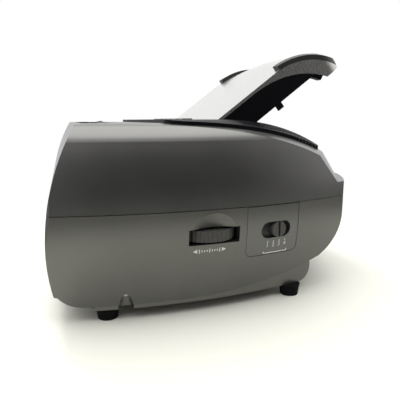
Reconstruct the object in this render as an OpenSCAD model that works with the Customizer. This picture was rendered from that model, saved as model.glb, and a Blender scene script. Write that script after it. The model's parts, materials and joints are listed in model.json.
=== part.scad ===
/* [Body] */
// Overall width across the bulging sides
body_w = 294; // [286:1:320]
// Depth from the round front to the rear face
body_d = 270; // [262:1:290]
// Height of the flat top above the floor
top_z = 137.5; // [134:0.5:146]
// Height of the line where the two housings part
parting_z = 80; // [77:1:83]
// Thickness of the moulded walls
wall = 2.6; // [2:0.2:3]
// Radius of the round front in plan
nose_r = 210; // [200:1:240]
// Radius of the side walls in plan
side_r = 420; // [380:5:600]
// Radius of the barrel of each side wall, seen from the front
barrel_r = 165; // [150:5:240]
// Radius between a side wall and the top
shoulder_r = 17; // [10:1:20]
// Height of the lower housing's underside
floor_z = 12; // [11:0.5:13]

/* [CD lid] */
// Width of the lid
lid_w = 147; // [144:1:150]
// Reach of the lid from its hinge to its lip
lid_reach = 141; // [138:1:143]
// Slope of the closed lid towards the front, degrees
lid_slope = 7; // [6:0.5:8]
// Angle that the lid is opened by at rest, degrees
lid_open = 44; // [30:1:60]
// Depth of the skirt below the lid's skin
skirt_d = 23; // [20:0.5:24]
// Radius of the disc recess, for a 120 mm disc
disc_r = 61; // [60.5:0.1:61.5]

/* [Controls] */
// Radius of the tuning and volume thumbwheels
wheel_r = 21; // [18:0.5:23]
// Thickness of the thumbwheels
wheel_t = 8; // [6:0.5:9]
// Ribs around each thumbwheel
wheel_ribs = 40; // [24:2:48]
// Travel of the function switch either way from the middle
switch_travel = 6; // [4:0.5:6.5]

/* [Speakers] */
// Radius of each speaker's frame
speaker_r = 25; // [22:0.5:26]
// Slots over each speaker
grille_slots = 20; // [12:1:22]

/* [Power] */
// Radius of one C cell
cell_r = 13.1; // [12.8:0.1:13.4]
// Length of one C cell
cell_l = 50; // [49:0.5:51]

/* [Feet] */
// Radius of a rubber foot at its top
foot_r = 8.5; // [7:0.5:10]
// Height of a rubber foot
foot_h = 9; // [8:0.5:10]

/* [Hidden] */
$fn = 96;
big = 900;
eps = 0.02;
fit = 0.05;

half_w = body_w / 2;
front_y = -body_d / 2;
rear_y = body_d / 2;
axis_y = front_y + nose_r;

// Round front in section: a flat top, a dome, a sloping face, a nose and a tucked-under chin
dome_flat_r = nose_r - 98;
dome_r = 142;
step_z = top_z - 46.5;
slope_lean = 31;
slope_r = nose_r - 4.8;
chin_z = 65;
chin_r = 45;

// Side walls in section
barrel_z = 75;
side_y = 43;
shoulder_z = top_z - shoulder_r;
shoulder_x = side_r - barrel_r + sqrt(pow(barrel_r - shoulder_r, 2) - pow(shoulder_z - barrel_z, 2));
shoulder_lift = asin((shoulder_z - barrel_z) / (barrel_r - shoulder_r));

// Rear face, its rounded heel and its slanted corners
rear_r = 165;
rear_z = 54;
heel_r = 22;
heel_rise = rear_z - floor_z - heel_r;
heel_y = rear_y - rear_r + sqrt(pow(rear_r - heel_r, 2) - pow(heel_rise, 2));
corner_r = 485;
corner_in = 5;
corner_back = 9.6;
corner_turn = 58;

// The underside rises towards the front
keel_r = 390;
keel_y = 45;

// Lid in its own frame: origin on the hinge, front towards -Y, skin above
hinge_y = -3;
hinge_z = top_z - 6.5;
skin_z = 6.5;
lid_half = lid_w / 2;
lid_front_r = 195;
lid_axis_y = lid_front_r - lid_reach;
lid_corner_r = 16;
lid_corner_x = lid_half - lid_corner_r;
lid_corner_y = lid_axis_y - sqrt(pow(lid_front_r - lid_corner_r, 2) - pow(lid_corner_x, 2));
lid_touch_x = lid_corner_x * lid_front_r / (lid_front_r - lid_corner_r);
lid_bend_r = 58;
lid_flat_r = lid_front_r - 52.5;
lip_d = 32;
grip_t = 4;
grip_w = 9;
grip_back = 76;
silver_t = 2.6;
plate_t = 5.2;
inner_bend_r = 75;
inner_flat_r = lid_flat_r - 20;
lid_pin_r = 1.5;
ear_x = 53;
ear_w = 6;

// Disc, hub and pickup, in the same frame as the closed lid
disc_y = -57;
disc_z = skin_z - 15.5;
well_z = skin_z - skirt_d - 2;
lip_z = skin_z - lip_d - 2;
bay_gap = 0.9;

// Feet
foot_y = [96, -50];
foot_x = half_w - 26;
tray_z = foot_h;

module mirrored() {
    children();
    mirror([1, 0, 0]) children();
}

// ---- outer form -------------------------------------------------------------------------

module front_section(inset) {
    intersection() {
        union() {
            square([dome_flat_r, top_z - inset]);
            translate([dome_flat_r, top_z - dome_r]) circle(dome_r - inset);
        }
        union() {
            square([nose_r - chin_r, chin_z + 1]);
            intersection() {
                translate([nose_r - chin_r, chin_z]) circle(chin_r - inset);
                square([nose_r, chin_z + eps]);
            }
            translate([0, chin_z]) square([nose_r - inset, step_z - chin_z - inset]);
            polygon([
                [0, chin_z], [slope_edge(step_z, inset), chin_z], [slope_edge(step_z, inset), step_z],
                [slope_edge(top_z + 9, inset), top_z + 9], [0, top_z + 9]
            ]);
        }
    }
}

function slope_edge(z, inset) = slope_r - (z - step_z) * tan(slope_lean) - inset / cos(slope_lean);

module side_section(inset) {
    cut_z = barrel_z + (barrel_r - inset) * sin(shoulder_lift);
    intersection() {
        translate([side_r - barrel_r, barrel_z]) circle(barrel_r - inset);
        square([side_r, cut_z]);
    }
    translate([shoulder_x, shoulder_z]) circle(shoulder_r - inset);
    square([shoulder_x, top_z + 9 - inset]);
}

module outer_form(inset) {
    intersection() {
        translate([0, axis_y, 0]) rotate_extrude($fn = 180) front_section(inset);
        mirrored_pair_of_sides(inset);
        across_body() intersection() {
            translate([rear_y - rear_r, rear_z]) circle(rear_r - inset);
            underside(inset);
        }
    }
}

// Carries a profile drawn in the YZ plane across the whole width
module across_body() {
    rotate([90, 0, 90]) translate([0, 0, -half_w]) linear_extrude(body_w) children();
}

// What lies above the underside: flat at the back, a rounded heel, and a keel that rises in front
module underside(inset) {
    translate([keel_y, floor_z + inset]) square([heel_y - keel_y, top_z]);
    translate([keel_y, rear_z - heel_rise * (rear_r - inset) / (rear_r - heel_r)]) square([rear_y, top_z]);
    translate([heel_y, floor_z + heel_r]) circle(heel_r - inset);
    translate([keel_y, floor_z + keel_r]) circle(keel_r - inset, $fn = 360);
}

module mirrored_pair_of_sides(inset) {
    intersection() {
        side_wall(inset);
        mirror([1, 0, 0]) side_wall(inset);
    }
}

module side_wall(inset) {
    intersection() {
        translate([side_r - half_w, side_y, 0]) rotate_extrude($fn = 180) side_section(inset);
        translate([corner_in - half_w, rear_y - corner_back, rear_z]) rotate([0, 0, corner_turn])
            translate([-big / 2, -corner_r, 0]) rotate([0, 90, 0]) cylinder(r = corner_r - inset, h = big);
    }
}

// Stations on a side wall: local -X points out of the wall, Y runs along it, Z is up
function wall_turn(y) = -asin((y - side_y) / side_r);
function barrel_dip(z) = barrel_r - sqrt(pow(barrel_r, 2) - pow(z - barrel_z, 2));

module on_wall(y, z) {
    translate([side_r - half_w, side_y, 0]) rotate([0, 0, wall_turn(y)])
        translate([barrel_dip(z) - side_r, 0, z]) children();
}

module slab(low, high) {
    translate([-big / 2, -big / 2, low]) cube([big, big, high - low]);
}

module box_between(low, high) {
    translate(low) cube(high - low);
}

// A rod along X, from x to x + length
module rod_x(x, y, z, r, length) {
    translate([x, y, z]) rotate([0, 90, 0]) cylinder(r = r, h = length);
}

module rod_y(x, y, z, r, length) {
    translate([x, y, z]) rotate([-90, 0, 0]) cylinder(r = r, h = length);
}

module rod_z(x, y, z, r, length) {
    translate([x, y, z]) cylinder(r = r, h = length);
}

// Oblong in the YZ plane, extruded along X through the wall
module oblong_x(length, height, depth) {
    reach = (length - height) / 2;
    translate([-depth / 2, -reach, -height / 2]) cube([depth, 2 * reach, height]);
    for (side = [-1, 1]) rod_x(-depth / 2, side * reach, 0, height / 2, depth);
}

// ---- lid and bay frames -----------------------------------------------------------------

module in_bay() {
    translate([0, hinge_y, hinge_z]) rotate([lid_slope, 0, 0]) children();
}

module in_lid() {
    translate([0, hinge_y, hinge_z]) rotate([lid_slope - lid_open, 0, 0]) children();
}

module lid_outline(inset, back) {
    touch = lid_touch_x * (lid_front_r - inset) / lid_front_r;
    intersection() {
        translate([0, lid_axis_y]) circle(lid_front_r - inset, $fn = 180);
        translate([-touch, -big]) square([2 * touch, big]);
    }
    translate([inset - lid_half, lid_corner_y]) square([lid_w - 2 * inset, back - lid_corner_y]);
    for (side = [-1, 1]) translate([side * lid_corner_x, lid_corner_y]) circle(lid_corner_r - inset);
}

module lid_prism(inset, back, low, high) {
    translate([0, 0, low]) linear_extrude(high - low) lid_outline(inset, back);
}

module lid_dome(inset, flat_r, bend_r) {
    translate([0, lid_axis_y, 0]) rotate_extrude($fn = 180) {
        translate([0, -big / 10]) square([flat_r, big / 10 + skin_z - inset]);
        translate([flat_r, skin_z - bend_r]) circle(bend_r - inset);
    }
}

module outer_dome(inset) lid_dome(inset, lid_flat_r, lid_bend_r);

module inner_dome(inset) lid_dome(silver_t + inset, inner_flat_r, inner_bend_r);

// Keeps what lies in front of the hinge, and a barrel round the hinge itself
module hinge_rounded() {
    intersection() {
        children();
        union() {
            box_between([-big / 2, -big, -big / 2], [big / 2, 0, big / 2]);
            rod_x(-big / 2, 0, 0, skin_z, big);
        }
    }
}

// The grip: a rim that stands on the skin round the front of the lid
module grip_layer() {
    difference() {
        intersection() {
            lid_dome(-grip_t, lid_flat_r, lid_bend_r);
            lid_prism(0, 0, skin_z - lip_d + 2, skin_z + grip_t + 1);
        }
        outer_dome(0);
        lid_prism(grip_w, 0, -big / 10, big / 10);
        box_between([-big, -grip_back, -big], [big, big, big]);
    }
}

module lid_hollow() {
    intersection() {
        lid_prism(2.5, big / 10, -big / 10, skin_z);
        outer_dome(plate_t);
    }
}

module bay_cut(clear, low) {
    lid_prism(-clear, skin_z + clear, low, big / 6);
}

// ---- shells -----------------------------------------------------------------------------

module parting_groove() {
    difference() {
        slab(parting_z - 0.9, parting_z + eps);
        intersection() {
            outer_form(0.9);
            slab(parting_z - 2, parting_z + 2);
        }
    }
}

module form_between(inset, low, high) {
    intersection() {
        outer_form(inset);
        slab(low, high);
    }
}

// Handle folded into the top: arms, cross bar, and the channel that they lie in
handle_x = 105;
handle_arm = 10;
handle_y = 62;
handle_z = top_z - 5;
handle_bar_y = 100;
handle_bar = 13;
handle_t = 9;
handle_gap = 1.2;
handle_pin_r = 2.5;
scoop_half = 44;
scoop_w = 16;

module handle_shape(grow, low, high) {
    for (side = [-1, 1]) {
        box_between(
            [side * handle_x - handle_arm / 2 - grow, handle_y, low],
            [side * handle_x + handle_arm / 2 + grow, handle_bar_y, high]
        );
        if (grow > 0)
            box_between(
                [side * handle_x - handle_arm / 2 - grow, handle_y - handle_t / 2 - grow, low],
                [side * handle_x + handle_arm / 2 + grow, handle_y + 1, high]
            );
    }
    box_between(
        [-handle_x - handle_arm / 2 - grow, handle_bar_y - handle_bar / 2 - grow, low],
        [handle_x + handle_arm / 2 + grow, handle_bar_y + handle_bar / 2 + grow, high]
    );
}

handle_floor = handle_z - handle_t / 2 - 1.2;

module handle_channel() {
    handle_shape(handle_gap, handle_floor, top_z + 5);
    box_between(
        [-scoop_half, handle_bar_y - handle_bar / 2 - scoop_w, handle_floor],
        [scoop_half, handle_bar_y, top_z + 5]
    );
}

module handle_block() {
    intersection() {
        outer_form(0.5);
        union() {
            handle_shape(handle_gap + 2, handle_floor - 2, top_z);
            box_between(
                [-scoop_half - 2, handle_bar_y - handle_bar / 2 - scoop_w - 2, handle_floor - 2],
                [scoop_half + 2, handle_bar_y, top_z]
            );
        }
    }
}

// Black panel round the lid, with a speaker grille on each shoulder
panel_proud = 2.6;
panel_back = 51;
panel_corner = 14;
panel_edge = side_r - (shoulder_x + 3);
panel_front_r = nose_r - 22;
panel_half = half_w - panel_edge;
grille_pitch = 3.9;
grille_slot = 2;
grille_in = lid_half + 7;
grille_back = -8;

module side_plan(inset) {
    reach = side_r - half_w;
    intersection() {
        translate([reach, side_y]) circle(side_r - inset, $fn = 180);
        translate([-reach, side_y]) circle(side_r - inset, $fn = 180);
    }
}

module panel_plan(inset) {
    intersection() {
        union() {
            translate([-half_w, -big / 2]) square([body_w, big / 2 + panel_back - panel_corner]);
            translate([panel_corner - panel_half, 0])
                square([2 * (panel_half - panel_corner), panel_back - inset]);
            for (side = [-1, 1])
                translate([side * (panel_half - panel_corner), panel_back - panel_corner])
                    circle(panel_corner - inset);
        }
        side_plan(panel_edge + inset);
        translate([0, axis_y]) circle(panel_front_r - inset, $fn = 180);
    }
}

module raised_form(inset) {
    bend = dome_r + panel_proud;
    translate([0, axis_y, 0]) rotate_extrude($fn = 180) intersection() {
        union() {
            square([dome_flat_r, top_z + panel_proud - inset]);
            translate([dome_flat_r, top_z + panel_proud - bend]) circle(bend - inset);
        }
        square([nose_r, 2 * top_z]);
    }
}

module grille_window(inset) {
    intersection() {
        panel_plan(inset);
        for (side = [-1, 1])
            translate([side * grille_in - (side < 0 ? big : 0), -big + grille_back]) square([big, big]);
    }
}

// Controls on the panel behind the lid
button_pitch = 21;
button_size = [17, 8.6];
button_y = 19;
button_proud = 0.9;
button_travel = 1.2;
button_gap = 0.4;
button_top = top_z + panel_proud + button_proud;
flange_top = top_z - wall - 0.3;
board_z = flange_top - 1.4 - 1.6 - button_travel - 0.3;
window_size = [60, 15];
window_y = 38;
window_sink = 1.2;

function button_x(i) = (i - 2.5) * button_pitch;

module centred_box(x, y, size, low, high) {
    box_between([x - size[0] / 2, y - size[1] / 2, low], [x + size[0] / 2, y + size[1] / 2, high]);
}

module button_holes(low, high) {
    for (i = [0:5])
        centred_box(button_x(i), button_y, button_size + [2, 2] * button_gap, low, high);
}

module top_panel() color("black") {
    difference() {
        intersection() {
            raised_form(0);
            linear_extrude(top_z + panel_proud + 5) panel_plan(0);
        }
        outer_form(0);
        translate([0, 0, -big / 2]) slab(0, big / 2 + parting_z);
        in_bay() bay_cut(bay_gap, -60);
        linear_extrude(top_z + 20) intersection() {
            grille_window(4);
            for (i = [0:grille_slots - 1])
                translate([-half_w, grille_back - (i + 1) * grille_pitch]) square([body_w, grille_slot]);
        }
        button_holes(parting_z, top_z + 20);
        centred_box(0, window_y, window_size, top_z + panel_proud - window_sink, top_z + 20);
        centred_box(0, window_y, window_size - [5, 3], parting_z, top_z + 20);
    }
}

module display_window() color("darkslategray") {
    lens = window_size - [1, 1] * 0.3;
    centred_box(0, window_y, lens, top_z + panel_proud - window_sink, top_z + panel_proud - 0.2);
}

module display_module() color("gray") {
    centred_box(0, window_y, window_size - [6, 4], board_z, top_z + panel_proud - window_sink - 0.2);
}

module control_board() color("darkgreen") {
    difference() {
        union() {
            centred_box(0, 27, [136, 40], board_z - 1.6, board_z);
            for (i = [0:5]) centred_box(button_x(i), button_y, [6, 6], board_z - 1, board_z + 1.2);
        }
        for (side = [-1, 1]) rod_z(side * 62, 38, board_z - 5, 1.6, 10);
    }
}

module transport_button(i) {
    centred_box(button_x(i), button_y, button_size, flange_top - 1, button_top);
    centred_box(button_x(i), button_y, button_size + [3, 2], flange_top - 1.4, flange_top);
    centred_box(button_x(i), button_y, [4, 4], flange_top - 1.4 - 1.6 + 1.2, flange_top - 1);
}

module button_mode() color("silver") transport_button(0);
module button_back() color("silver") transport_button(1);
module button_stop() color("silver") transport_button(2);
module button_play() color("silver") transport_button(3);
module button_forward() color("silver") transport_button(4);
module button_program() color("silver") transport_button(5);

// Mast stowed in a sleeve at the rear right
mast_x = 117;
mast_y = 78;
mast_low = 32;
mast_r = [3.3, 2.6, 1.9];

module upper_housing() color("dimgray") {
    speaker_rings();
    difference() {
        union() {
            difference() {
                form_between(0, parting_z, big / 4);
                outer_form(wall);
            }
            handle_block();
            for (side = [-1, 1]) rod_z(side * 62, 38, board_z, 3.5, top_z - wall - board_z + eps);
        }
        in_bay() bay_cut(bay_gap, lip_z);
        handle_channel();
        button_holes(board_z, top_z + 5);
        centred_box(0, window_y, window_size - [5, 3], parting_z, top_z + 5);
        linear_extrude(top_z + 20) grille_window(6);
        rod_x(-handle_x - 9, handle_y, handle_z, handle_pin_r, 18);
        rod_x(handle_x - 9, handle_y, handle_z, handle_pin_r, 18);
        rod_z(mast_x, mast_y, parting_z, mast_r[0] + 1.25, big / 4);
    }
}

module carry_handle() color("black") {
    difference() {
        union() {
            handle_shape(0, handle_z - handle_t / 2, handle_z + handle_t / 2);
            for (side = [-1, 1])
                rod_x(side * handle_x - handle_arm / 2, handle_y, handle_z, handle_t / 2, handle_arm);
        }
        for (side = [-1, 1])
            rod_x(side * handle_x - handle_arm, handle_y, handle_z, handle_pin_r + fit, 2 * handle_arm);
    }
}

module handle_pins() color("silver") {
    for (side = [-1, 1]) rod_x(side * handle_x - 8.5, handle_y, handle_z, handle_pin_r, 17);
}

// ---- lower housing ----------------------------------------------------------------------

// Thumbwheel in its slot, and the scoop over it
wheel_y = 23;
wheel_z = 60.4;
wheel_proud = 1.5;
wheel_axle_r = 3;
slot_l = 38;
slot_h = 11.4;
scoop_depth = 5;
scoop_r = 18.5;
scoop_ball = (pow(scoop_r, 2) + pow(scoop_depth, 2)) / (2 * scoop_depth);

module wheel_cut() {
    on_wall(wheel_y, wheel_z) {
        box_between([-wall * 2, -slot_l / 2, -slot_h / 2], [wall * 3, slot_l / 2, slot_h / 2]);
        intersection() {
            translate([scoop_depth - scoop_ball, 0, -3]) sphere(scoop_ball);
            box_between([-big / 8, -big / 8, -slot_h / 2], [big / 8, big / 8, big / 8]);
        }
    }
}

module wheel_backing() {
    intersection() {
        outer_form(wall - 0.5);
        on_wall(wheel_y, wheel_z) difference() {
            box_between([0, -slot_l / 2 - 2, -slot_h / 2 - 2],
                [scoop_depth + 2.5, slot_l / 2 + 2, scoop_r - 1]);
            box_between([-5, -slot_l / 2, -slot_h / 2], [scoop_depth + 5, slot_l / 2, slot_h / 2]);
        }
    }
}

module thumbwheel() {
    groove_r = 1.25;
    on_wall(wheel_y, wheel_z) translate([wheel_r - wheel_proud, 0, -wheel_t / 2]) difference() {
        cylinder(r = wheel_r, h = wheel_t);
        translate([0, 0, -1]) cylinder(r = wheel_axle_r + fit, h = wheel_t + 2);
        for (i = [0:wheel_ribs - 1])
            rotate([0, 0, (i + 0.5) * 360 / wheel_ribs])
                translate([wheel_r + groove_r / 2, 0, -1]) cylinder(r = groove_r, h = wheel_t + 2, $fn = 24);
    }
}

module wheel_spindle() {
    body_h = wheel_z - wheel_t / 2 - 0.3 - board_top;
    on_wall(wheel_y, wheel_z) translate([wheel_r - wheel_proud, 0, -wheel_t / 2 - 0.3]) {
        translate([-11, -11, -body_h]) cube([22, 22, body_h]);
        translate([0, 0, -1]) cylinder(r = wheel_axle_r, h = wheel_t + 2);
    }
}

module tuning_wheel() color("black") thumbwheel();
module volume_wheel() color("black") mirror([1, 0, 0]) thumbwheel();
module tuning_gang() color("gainsboro") wheel_spindle();
module volume_pot() color("gray") mirror([1, 0, 0]) wheel_spindle();

// Function switch in its own panel on the left side
switch_panel_y = [-46.8, -1.6];
switch_panel_low = 41;
switch_y = -26.8;
switch_z = 60.3;
switch_h = 12.4;
switch_rest = 2;
knob_l = 12;
switch_l = knob_l + 2 * (switch_travel + 1);

module switch_panel_shape(inset) {
    r = 5 - inset;
    low = [-big, switch_panel_y[0] + inset, switch_panel_low + inset];
    high = [-half_w + 30, switch_panel_y[1] - inset, parting_z - 0.9 - inset];
    box_between(low + [0, 0, r], high);
    box_between(low + [0, r, 0], high - [0, r, 0]);
    for (y = [low[1] + r, high[1] - r]) rod_x(-big, y, low[2] + r, r, big - half_w + 30);
}

module function_panel() color("dimgray") {
    difference() {
        intersection() {
            difference() {
                outer_form(0.15);
                outer_form(wall);
            }
            switch_panel_shape(0.35);
        }
        on_wall(switch_y, switch_z) oblong_x(switch_l, switch_h, 20);
    }
}

module function_knob() color("black") {
    on_wall(switch_y - switch_rest, switch_z) {
        translate([2.2, 0, 0]) difference() {
            oblong_x(knob_l, switch_h - 1, 6.4);
            box_between([-5, -0.9, -switch_h], [-1.6, 0.9, switch_h]);
        }
        box_between([wall + 2.2, -switch_l / 2 - 5, -7.5], [wall + 3.6, switch_l / 2 + 5, 7.5]);
    }
}

// Dial on the front
dial_half = 44;
dial_z = [57, 75];
dial_side = dial_half + 6;
dial_y = front_y + 12;

module dial_opening(grow) {
    box_between([-dial_half - grow, -big, dial_z[0] - grow],
        [dial_half + grow, front_y + 40, dial_z[1] + grow]);
}

module dial_window() color("darkslategray") {
    intersection() {
        translate([0, axis_y, 0]) rotate_extrude($fn = 180) difference() {
            front_section(0.3);
            front_section(wall - 0.6);
        }
        dial_opening(-0.3);
    }
}

module dial_plate() color("white") {
    box_between([-dial_side - 4, dial_y, dial_z[0] - 2], [dial_side + 4, dial_y + 1.2, dial_z[1] + 2]);
}

module dial_pointer() color("orangered") {
    box_between([-0.6, dial_y - 1.5, dial_z[0] + 1], [0.6, dial_y - 0.4, dial_z[1] - 2]);
    box_between([-3, dial_y - 1.5, dial_z[1] - 3], [3, dial_y - 0.4, dial_z[1] - 1]);
}

// Rear: battery bay and its door, mains inlet
bay_x = 3 * cell_l / 2 + 2;
bay_z = [30.5, 30.5 + 2 * cell_r + 1.2];
bay_y = [rear_y - 64, rear_y - 10];
door_z = [bay_z[0] - 3, bay_z[1] + 3];
door_half = bay_x + 3;
door_gap = 0.4;
door_hinge_x = 55;
door_pin_r = 1;
door_pin_z = door_z[0] + 2.6;
door_pin_y = rear_y - 4.3;
door_knuckle_r = 2.2;
inlet_x = -106;
inlet_z = 46;
inlet_size = [24, 14];

module rear_box(x, z, size, low, high) {
    box_between([x - size[0] / 2, low, z - size[1] / 2], [x + size[0] / 2, high, z + size[1] / 2]);
}

module door_opening(grow) {
    box_between([-door_half - grow, rear_y - 30, door_z[0] - grow],
        [door_half + grow, big, door_z[1] + grow]);
}

door_lug_x = [for (side = [-1, 1], end = [-1, 1]) side * door_hinge_x + end * 6.9];
door_lug_w = 2.8;

// Lugs that carry the battery door's pins
module door_lugs() {
    for (x = door_lug_x) {
        rod_x(x - door_lug_w / 2, door_pin_y, door_pin_z, door_knuckle_r, door_lug_w);
        box_between([x - door_lug_w / 2, door_pin_y - door_knuckle_r, door_z[0] - 6],
            [x + door_lug_w / 2, door_pin_y + 1.4, door_pin_z]);
    }
}

board_low = 36;
board_top = board_low + 1.6;
board_post = [[70, -24], [70, 52]];
screw_at = [[half_w - 16, 84], [half_w - 40, -34]];
screw_sink = 22;

module lower_housing() color("gray") {
    difference() {
        intersection() {
            outer_form(0.1);
            door_lugs();
        }
        for (side = [-1, 1]) rod_x(side * door_hinge_x - 9, door_pin_y, door_pin_z, door_pin_r, 18);
    }
    difference() {
        union() {
            difference() {
                form_between(0, floor_z - 1, parting_z);
                outer_form(wall);
            }
            mirrored() wheel_backing();
            intersection() {
                outer_form(0.5);
                union() {
                    for (side = [-1, 1], at = screw_at) rod_z(side * at[0], at[1], floor_z, 7.5, 18);
                    for (side = [-1, 1], at = board_post)
                        rod_z(side * at[0], at[1], floor_z, 4, board_low - floor_z);
                    for (side = [-1, 1])
                        box_between([side * dial_side - 3, -big, dial_z[0] + 3],
                            [side * dial_side + 3, dial_y, dial_z[1] - 3]);
                }
            }
        }
        parting_groove();
        mirrored() wheel_cut();
        switch_panel_shape(0);
        dial_opening(0);
        door_opening(0);
        rod_x(-door_half, door_pin_y, door_pin_z, 3.9, 2 * door_half);
        rear_box(inlet_x, inlet_z, inlet_size, rear_y - 40, big);
        for (side = [-1, 1], at = screw_at) {
            rod_z(side * at[0], at[1], 0, 5, screw_sink);
            rod_z(side * at[0], at[1], 0, 1.7, big / 8);
        }
        for (y = jack_y) mirror([1, 0, 0]) on_wall(y, jack_z) rod_x(-5, 0, 0, jack_r, 30);
        for (i = [0:6]) box_between([87 + i * 5, rear_y - 30, 40], [89.4 + i * 5, big, 62]);
    }
}

jack_y = [-18, -36];
jack_z = 60;
jack_r = 4.5;
jack_bore_r = 1.8;
jack_l = 15;

module audio_jacks() color("black") {
    for (y = jack_y) mirror([1, 0, 0]) on_wall(y, jack_z) difference() {
        rod_x(0.4, 0, 0, jack_r, jack_l);
        rod_x(-1, 0, 0, jack_bore_r, jack_l - 1);
    }
}

tray_in = 13;
tray_front = -70;
tray_round = 12;

module base_tray() color("black") {
    top = floor_z + 20;
    difference() {
        intersection() {
            linear_extrude(top) intersection() {
                side_plan(tray_in);
                translate([-half_w, -half_w]) square([body_w, half_w + rear_y - 16]);
            }
            across_body() difference() {
                union() {
                    translate([tray_front, tray_z + tray_round]) square([body_d, top - tray_z - tray_round]);
                    translate([tray_front + tray_round, tray_z]) square([body_d, top - tray_z]);
                    translate([tray_front + tray_round, tray_z + tray_round]) circle(tray_round);
                }
                underside(0);
            }
        }
        for (side = [-1, 1], at = screw_at) rod_z(side * at[0], at[1], 0, 5.4, big / 8);
    }
}

module rubber_feet() color("black") {
    for (side = [-1, 1], y = foot_y)
        translate([side * foot_x, y, 0]) cylinder(r1 = foot_r - 1.5, r2 = foot_r, h = foot_h);
}

module battery_bay() color("black") {
    difference() {
        union() {
            box_between([-bay_x - 2, bay_y[0] - 2, bay_z[0] - 2], [bay_x + 2, bay_y[1], bay_z[1] + 2]);
            for (side = [-1, 1], y = [bay_y[0] + 4, bay_y[1] - 18])
                centred_box(side * (bay_x - 8), y, [10, 8], floor_z + wall, bay_z[0] - 1);
        }
        box_between([-bay_x, bay_y[0], bay_z[0]], [bay_x, big, bay_z[1]]);
    }
}

module battery_contacts() color("silver") {
    for (side = [-1, 1], row = [0, 1]) {
        centre = [side * (bay_x - 0.3), bay_y[0] + (row + 0.5) * 26.4, (bay_z[0] + bay_z[1]) / 2];
        translate(centre + [-0.3, -9, -9]) cube([0.6, 18, 18]);
        for (turn = [0:3])
            translate(centre - [side * (0.6 + turn * 1.3), 0, 0]) rotate([0, 90, 0])
                rotate_extrude($fn = 48) translate([6 - turn, 0]) circle(0.7, $fn = 16);
    }
}

module battery_door() color("gray") {
    difference() {
        union() {
            intersection() {
                difference() {
                    outer_form(0);
                    outer_form(wall);
                }
                door_opening(-door_gap);
            }
            for (side = [-1, 1]) intersection() {
                union() {
                    rod_x(side * door_hinge_x - 5, door_pin_y, door_pin_z, door_knuckle_r, 10);
                    box_between([side * door_hinge_x - 5, door_pin_y, door_pin_z - 2],
                        [side * door_hinge_x + 5, rear_y, door_pin_z + 3]);
                }
                outer_form(0.1);
            }
        }
        for (side = [-1, 1]) rod_x(side * door_hinge_x - 9, door_pin_y, door_pin_z, door_pin_r + fit, 18);
        for (x = door_lug_x)
            box_between([x - door_lug_w / 2 - door_gap, door_pin_y - door_knuckle_r - door_gap, 0],
                [x + door_lug_w / 2 + door_gap, big, door_pin_z + door_knuckle_r + door_gap]);
        for (i = [-3:3]) rear_box(i * 4, door_z[1] - 7, [1.6, 7], rear_y - 0.9, big);
    }
}

module door_pins() color("silver") {
    for (side = [-1, 1]) rod_x(side * door_hinge_x - 7.5, door_pin_y, door_pin_z, door_pin_r, 15);
}

module ac_inlet() color("black") {
    difference() {
        union() {
            rear_box(inlet_x, inlet_z, inlet_size - [1, 1] * 0.4, rear_y - 24, rear_y - 3.6);
            intersection() {
                outer_form(wall);
                rear_box(inlet_x, inlet_z, inlet_size + [5, 5], rear_y - 8, big);
            }
        }
        for (side = [-1, 1]) rod_y(inlet_x + side * 4.6, rear_y - 21, inlet_z, 4.6, 30);
        rear_box(inlet_x, inlet_z, [9.2, 7.4], rear_y - 21, big);
    }
    for (side = [-1, 1]) rod_y(inlet_x + side * 4.3, rear_y - 22, inlet_z, 1.2, 10);
}

// ---- insides ----------------------------------------------------------------------------

speaker_x = 104;
speaker_y = -38;
speaker_z = 112;
speaker_h = 22;

module speaker_frames() color("darkgray") {
    for (side = [-1, 1]) translate([side * speaker_x, speaker_y, speaker_z]) difference() {
        union() {
            cylinder(r = speaker_r, h = 2);
            translate([0, 0, -speaker_h + 8]) cylinder(r1 = 12, r2 = speaker_r - 3, h = speaker_h - 8);
        }
        translate([0, 0, -speaker_h + 9.5]) cylinder(r1 = 10, r2 = speaker_r - 4.5, h = speaker_h - 6.5);
    }
}

module speaker_cones() color("black") {
    for (side = [-1, 1]) translate([side * speaker_x, speaker_y, speaker_z]) {
        difference() {
            union() {
                translate([0, 0, -speaker_h + 11]) cylinder(r1 = 9, r2 = speaker_r - 7, h = speaker_h - 8.2);
                translate([0, 0, 2]) cylinder(r = speaker_r - 3, h = 0.8);
            }
            translate([0, 0, -speaker_h + 12]) cylinder(r1 = 8, r2 = speaker_r - 7.4, h = speaker_h - 8.2);
        }
        translate([0, 0, -speaker_h + 10]) cylinder(r = 7, h = 5);
    }
}

// Rings under the upper skin that the loudspeakers hang from
module speaker_rings() {
    intersection() {
        outer_form(0.5);
        for (side = [-1, 1]) translate([side * speaker_x, speaker_y, speaker_z + 2]) difference() {
            cylinder(r = speaker_r + 0.6, h = big / 10);
            translate([0, 0, -1]) cylinder(r = speaker_r - 2.5, h = big / 5);
        }
    }
}

module speaker_magnets() color("silver") {
    for (side = [-1, 1]) rod_z(side * speaker_x, speaker_y, speaker_z - speaker_h - 4, 16, 12);
}

module main_board() color("darkgreen") {
    box_between([-80, -34, board_low], [80, 62, board_top]);
    box_between([-130, 6, board_low], [130, 40, board_top]);
    centred_box(-20, -8, [18, 18], board_top, board_top + 2.4);
    centred_box(30, 10, [24, 12], board_top, board_top + 3.4);
    for (i = [0:4]) rod_z(-60 + i * 11, 44, board_top, 4, 12);
}

module power_transformer() color("darkslategray") {
    box_between([-120, 68, floor_z + wall], [-90, 100, floor_z + wall + 32]);
    box_between([-115, 62, floor_z + wall + 5], [-95, 106, floor_z + wall + 27]);
}

// ---- lid --------------------------------------------------------------------------------

module lid_shell() color("silver") in_lid() {
    hinge_rounded() difference() {
        intersection() {
            outer_dome(0);
            lid_prism(0, skin_z, skin_z - lip_d, skin_z + 1);
        }
        inner_dome(0);
        lid_hollow();
    }
}

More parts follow.
